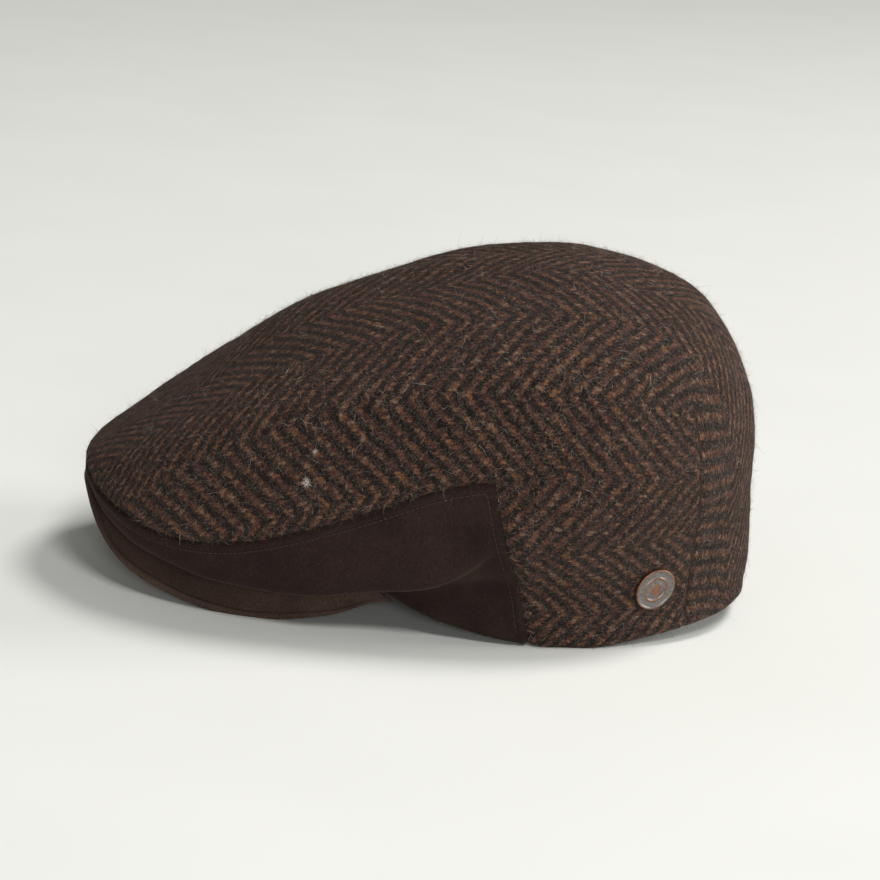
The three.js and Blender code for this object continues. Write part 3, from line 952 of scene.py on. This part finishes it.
def brim_root(across):
    angle = np.radians(across * BRIM_ROOT_ANGLE)
    root = surface(angle, 0.0)
    root = root * (1 - WALL / np.hypot(root[..., 0], root[..., 1]))[..., None]
    root[..., 2] = HEM_FRONT_LIFT * hem_lift(np.abs(across) * BRIM_ROOT_ANGLE) - BRIM_ROOT_GAP
    return root


def brim_rim(across, thick):
    turn = np.radians(across * 90)
    s, c = np.sin(turn), np.cos(turn)
    return np.stack([
        BRIM_HALF_WIDTH * s * (1 + BRIM_SQUARE * c * c),
        -BRIM_CORNER - (BRIM_FRONT - BRIM_CORNER) * c * (1 + BRIM_SQUARE * s * s),
        BRIM_RISE * brim_edge(np.abs(across) * 90) + thick,
    ], -1)


def make_brim():
    across = np.linspace(-1, 1, BRIM_COLUMNS + 1)
    taper = smooth(1 - np.abs(across) ** 4)
    thick = mix(BRIM_TIP_THICKNESS, BRIM_THICKNESS, taper)
    root, rim = brim_root(across), brim_rim(across, thick)
    outside = unit((rim - root) * [1, 1, 0])
    rim = rim - outside * (thick / 2)[:, None]
    share = 1 - crowded_start(1 - np.linspace(0, 1, BRIM_ACROSS + 1), 0.6)
    top = root[:, None] + (rim - root)[:, None] * share[None, :, None]
    from_edge = np.linalg.norm(rim[:, None] - top, axis=-1)
    top[..., 2] += 0.3 * soft_noise(top, 24, 8) - 0.4 * bell(from_edge - 1.2, 0.5)
    bottom = top - [0, 0, 1] * thick[:, None, None]
    turn = np.linspace(0, math.pi, BRIM_EDGE_STEPS + 1)[1:-1]
    centre = rim - [0, 0, 0.5] * thick[:, None]
    edge = centre[:, None] + (thick / 2)[:, None, None] * (
        outside[:, None] * np.sin(turn)[None, :, None] + np.array([0, 0, 1]) * np.cos(turn)[None, :, None]
    )
    loop = np.concatenate([top, edge, bottom[:, ::-1]], 1)
    n, m = loop.shape[:2]
    index = np.arange(n * m).reshape(n, m)
    faces = grid_faces(index, closed=True).tolist()
    faces = [face[::-1] for face in faces]
    faces += [index[0].tolist(), index[-1][::-1].tolist()]
    # The brim's cloth is the band's moleskin made lighter, as painted light
    cloth = moleskin("brim_moleskin", BRIM_PAINTED_LIT_DARK, BRIM_PAINTED_LIT_LIGHT)
    piece = make_piece("brim_moleskin", loop.reshape(-1, 3), faces, cloth, "napped_cotton_brim")
    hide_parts("brim")


# The badge
BADGE_SIDES = 128
BADGE_POST_RADIUS = 1.2
BADGE_BACK_RADIUS = 4
BADGE_BACK_THICKNESS = 1
BADGE_BACK_GAP = 0.4

# Grey rings of the badge between its copper ones, in shares of the radius
PATINA_RINGS = ((0.6, 0.93), (0.3, 0.52))


def badge_axes():
    angle = math.radians(BADGE_ANGLE)
    normal = outward(angle, BADGE_SECTION)
    centre = surface(angle, BADGE_SECTION)
    side = unit(np.cross([0, 0, 1], normal))
    return centre, side, np.cross(normal, side), normal


def make_badge():
    centre, side, up, normal = badge_axes()
    radius, back = BADGE_DIAMETER / 2, -WALL - BADGE_BACK_GAP
    profile = [
        (0, back - BADGE_BACK_THICKNESS), (BADGE_BACK_RADIUS, back - BADGE_BACK_THICKNESS),
        (BADGE_BACK_RADIUS, back), (BADGE_POST_RADIUS, back),
        (BADGE_POST_RADIUS, BADGE_STANDOFF), (radius * 0.97, BADGE_STANDOFF),
    ]
    profile += [(share * radius, BADGE_STANDOFF + height * BADGE_THICKNESS) for share, height in BADGE_FACE]
    profile = np.array(profile)
    turn = np.arange(BADGE_SIDES) / BADGE_SIDES * 2 * math.pi
    round_way = side * np.cos(turn)[:, None] + up * np.sin(turn)[:, None]
    points = centre + profile[:, None, :1] * round_way[None] + profile[:, None, 1:] * normal
    share = profile[:, 0] / radius
    grey = np.any([(share > low) & (share < high) for low, high in PATINA_RINGS], axis=0)
    patina = np.repeat(grey.astype(float), BADGE_SIDES)
    index = np.arange(points.shape[0] * BADGE_SIDES).reshape(-1, BADGE_SIDES)
    faces = grid_faces(index, closed=True)
    piece = make_piece("badge_disc", points.reshape(-1, 3), faces, aged_metal(), "aged_metal", patina=patina)
    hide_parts("badge")
    mesh = piece.data
    work = bmesh.new()
    work.from_mesh(mesh)
    bmesh.ops.remove_doubles(work, verts=work.verts, dist=0.02 * MM)
    bmesh.ops.recalc_face_normals(work, faces=work.faces)
    work.to_mesh(mesh)
    work.free()


# Wool hairs that stand out of the crown's cloth
HAIR_WIDTH = 0.09
HAIR_CURL = 0.9
HAIR_RISE = 0.3
HAIR_LEAST_LENGTH = 0.6
HAIR_LIFTS = (0.05, 0.5)
HAIR_SINK = 0.1

# Places along a hair: (share of its length, share of its width)
HAIR_STATIONS = ((0.0, 1.0), (0.5, 0.8), (1.0, 0.2))

# Pale tufts of wool on the crown: (angle from the front, section number, radius)
TUFTS = ((64.3, 3.35, 1.4), (64.9, 3.7, 0.4))
TUFT_HAIRS = 70


def grow(points, normals, lengths, lift, shade, random):
    """Thin curved ribbons from a set of roots."""
    n = len(points)
    tangent = unit(np.cross(normals, random.normal(size=(n, 3))))
    turn = unit(np.cross(normals, tangent))
    heading = unit(tangent + normals * lift[:, None])
    bend = random.normal(size=n)[:, None] * HAIR_CURL
    rise = random.normal(size=n)[:, None] * HAIR_RISE
    curl = turn * bend + normals * rise
    wide = unit(np.cross(heading, normals + 0.2 * random.normal(size=(n, 3)))) * HAIR_WIDTH / 2
    rows = []
    for share, width in HAIR_STATIONS:
        reach = lengths[:, None] * share
        line = points + heading * reach + curl * reach * share
        rows += [line - wide * width, line + wide * width]
    mesh = np.stack(rows, 1)
    index = np.arange(n * len(rows)).reshape(n, -1, 2)
    faces = np.stack([index[:, :-1, 0], index[:, :-1, 1], index[:, 1:, 1], index[:, 1:, 0]], -1)
    return mesh.reshape(-1, 3), faces.reshape(-1, 4), np.repeat(shade, len(rows))


def scatter(count, random, keep):
    """Random places on the cloth, evenly by area, with their normals."""
    relief = BASE + NORMAL * CROWN_RELIEF[..., None]
    nxt = np.roll(np.arange(relief.shape[1]), -1)
    a, b, c = relief[:-1], relief[:-1][:, nxt], relief[1:]
    area = np.linalg.norm(np.cross(b - a, c - a), axis=-1) * keep
    chosen = random.choice(area.size, count, p=(area / area.sum()).ravel())
    r, k = np.unravel_index(chosen, area.shape)
    s, t = random.random((2, count, 1))
    kn = nxt[k]
    spot = mix(mix(relief[r, k], relief[r, kn], s), mix(relief[r + 1, k], relief[r + 1, kn], s), t)
    return spot, NORMAL[r, k]


def tufts(random):
    """Roots, normals, lengths and lifts of the hairs in the pale tufts."""
    roots, normals, lengths = [], [], []
    for degrees, section, radius in TUFTS:
        turn = math.radians(degrees)
        centre, normal = surface(turn, section), outward(turn, section)
        scattered = random.normal(size=(TUFT_HAIRS, 3)) * radius / 2
        scattered -= (scattered @ normal)[:, None] * normal
        roots.append(centre + scattered)
        normals.append(np.tile(normal, (TUFT_HAIRS, 1)))
        lengths.append(random.uniform(0.5, 1.6, TUFT_HAIRS) * (0.6 + radius / 2))
    return np.concatenate(roots), np.concatenate(normals), np.concatenate(lengths)


def make_hairs():
    random = np.random.default_rng(11)
    for name, side in (("left", LEFT), ("right", ~LEFT)):
        spots, normals = scatter(HAIRS, random, ~band_cells() & side)
        lengths = random.gamma(3.0, 0.7, HAIRS) + HAIR_LEAST_LENGTH
        lift = random.uniform(*HAIR_LIFTS, HAIRS) ** 1.6
        shade = random.beta(1.9, 3.1, HAIRS)
        if name == "left":
            roots, straight, long = tufts(random)
            spots, normals = np.concatenate([spots, roots]), np.concatenate([normals, straight])
            lengths = np.concatenate([lengths, long])
            lift = np.concatenate([lift, random.uniform(0.2, 1.2, len(long))])
            shade = np.concatenate([shade, np.ones(len(long))])
        points, faces, shade = grow(spots - normals * HAIR_SINK, normals, lengths, lift, shade, random)
        make_piece("crown_wool_hairs_" + name, points, faces, wool_hair(), "herringbone_wool", shade=shade)


# Floor and light
FLOOR_SIZE = 14
WORLD_COLOUR = (1.0, 1.0, 0.98, 1)
WORLD_STRENGTH = 0.17
LIGHT_AIM = Vector((0, 0, 0.05))

# Round lights: (name, place in metres, size in metres, power in watts, tint)
LIGHTS = (
    ("key", (2.6, 0.9, 3.0), 1.0, 62, (1.0, 1.0, 0.985)),
    ("front", (6.0, 0.8, 1.7), 1.6, 112, (1.0, 1.0, 1.0)),
    ("side", (-0.5, 1.8, 3.7), 1.3, 90, (1.0, 0.99, 0.97)),
    ("rear", (-0.6, 4.6, 1.5), 1.8, 118, (1.0, 0.99, 0.97)),
)


def make_floor():
    bpy.ops.mesh.primitive_plane_add(size=FLOOR_SIZE, location=(0, 0, 0))
    floor = bpy.context.object
    floor.name = "studio_floor"
    floor.data.materials.append(floor_finish())


def make_light(name, place_at, size, power, tint):
    data = bpy.data.lights.new(name, "AREA")
    data.shape = "DISK"
    data.size = size
    data.energy = power
    data.color = tint
    light = bpy.data.objects.new(name, data)
    bpy.context.scene.collection.objects.link(light)
    light.location = place_at
    light.rotation_euler = (LIGHT_AIM - Vector(place_at)).to_track_quat("-Z", "Y").to_euler()


def make_world():
    world = bpy.data.worlds.new("studio")
    world.use_nodes = True
    background = world.node_tree.nodes["Background"]
    background.inputs["Color"].default_value = WORLD_COLOUR
    background.inputs["Strength"].default_value = WORLD_STRENGTH
    bpy.context.scene.world = world


make_camera()
make_floor()
make_world()
for row in LIGHTS:
    make_light(*row)
bpy.context.scene.view_settings.view_transform = "Standard"
make_crown()
make_band()
make_stitches()
make_brim()
make_badge()
make_hairs()
